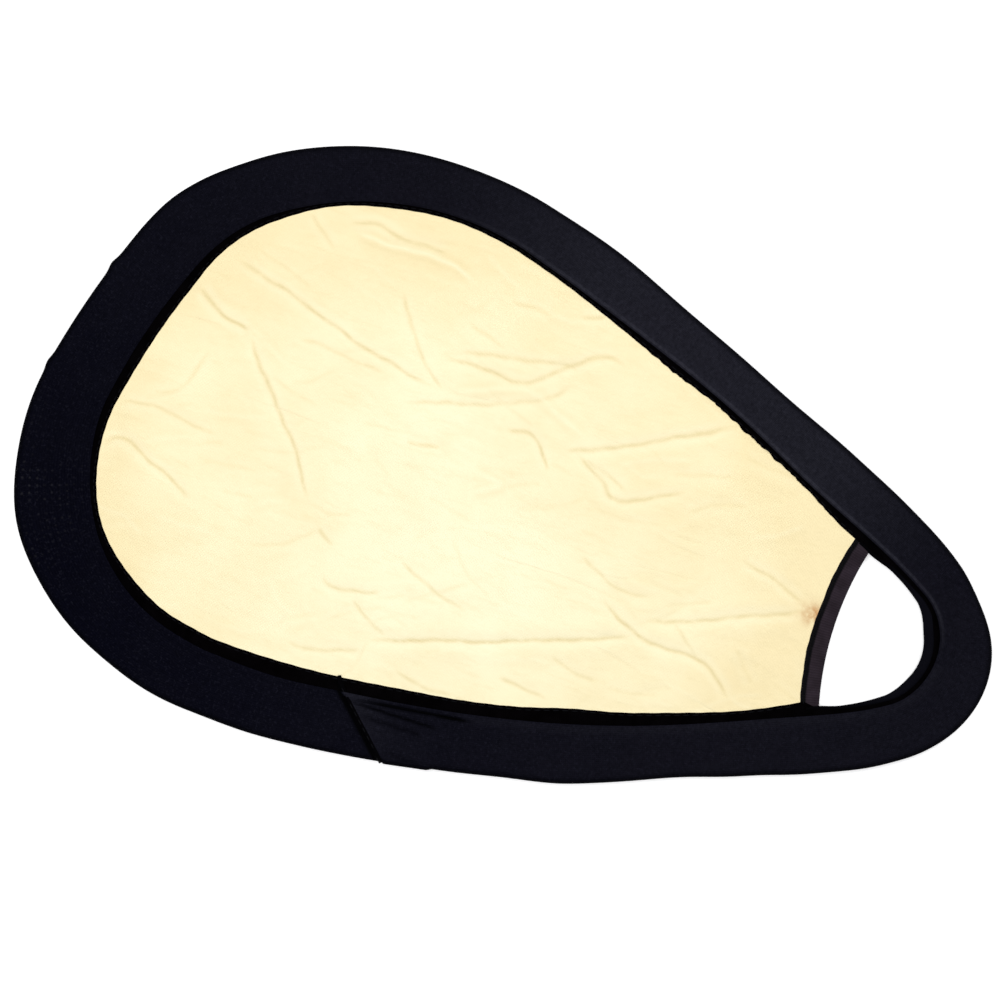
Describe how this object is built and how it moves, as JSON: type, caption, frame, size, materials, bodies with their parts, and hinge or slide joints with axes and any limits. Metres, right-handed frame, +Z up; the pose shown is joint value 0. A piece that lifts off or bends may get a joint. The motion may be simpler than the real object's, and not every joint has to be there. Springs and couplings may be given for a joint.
{
  "type": "collapsible hand reflector",
  "caption": "Teardrop folding light reflector: sprung steel hoop in a wide cloth rim, gold front, white back, and a taped hand opening at the narrow end.",
  "frame": {"origin": "on the resting plane, under the middle of the outline", "axes": "+X towards the hand opening along the length, +Z up out of the gold face, rim thickness along Z"},
  "size_m": [0.61, 0.3706, 0.0078],
  "materials": {
    "rim_cloth": "matt stretch knit, navy black",
    "edging_tape": "matt woven tape, black",
    "gold_cloth": "soft gold metallised cloth, creased",
    "white_cloth": "matt white nylon cloth",
    "thread": "black sewing thread",
    "spring_steel": "blued spring steel strip",
    "plated_steel": "zinc plated steel"
  },
  "bodies": {
    "handle_half": {"rim_binding_handle": "rim_cloth", "hoop_handle": "spring_steel", "gold_panel_handle": "gold_cloth", "white_panel_handle": "white_cloth", "edging_front_handle": "edging_tape", "edging_back_handle": "edging_tape", "edging_stitches_front_handle": "thread", "edging_stitches_back_handle": "thread", "panel_end_tape": "edging_tape", "panel_end_stitches": "thread", "opening_piping": "rim_cloth"},
    "wide_half": {"rim_binding_wide": "rim_cloth", "hoop_wide": "spring_steel", "hoop_joint_sleeve": "plated_steel", "hoop_joint_rivets": "plated_steel", "gold_panel_wide": "gold_cloth", "white_panel_wide": "white_cloth", "edging_front_wide": "edging_tape", "edging_back_wide": "edging_tape", "edging_stitches_front_wide": "thread", "edging_stitches_back_wide": "thread", "binding_lap_hem": "rim_cloth", "binding_lap_stitches": "thread", "binding_lap_tab": "rim_cloth"}
  },
  "joints": [
    {"name": "fold", "type": "hinge", "parent": "handle_half", "child": "wide_half", "pos_m": [0, 0, 0.0083], "axis": [0, 1, 0], "range_deg": [0, 150], "stiffness_Nm_per_rad": 0.9}
  ]
}
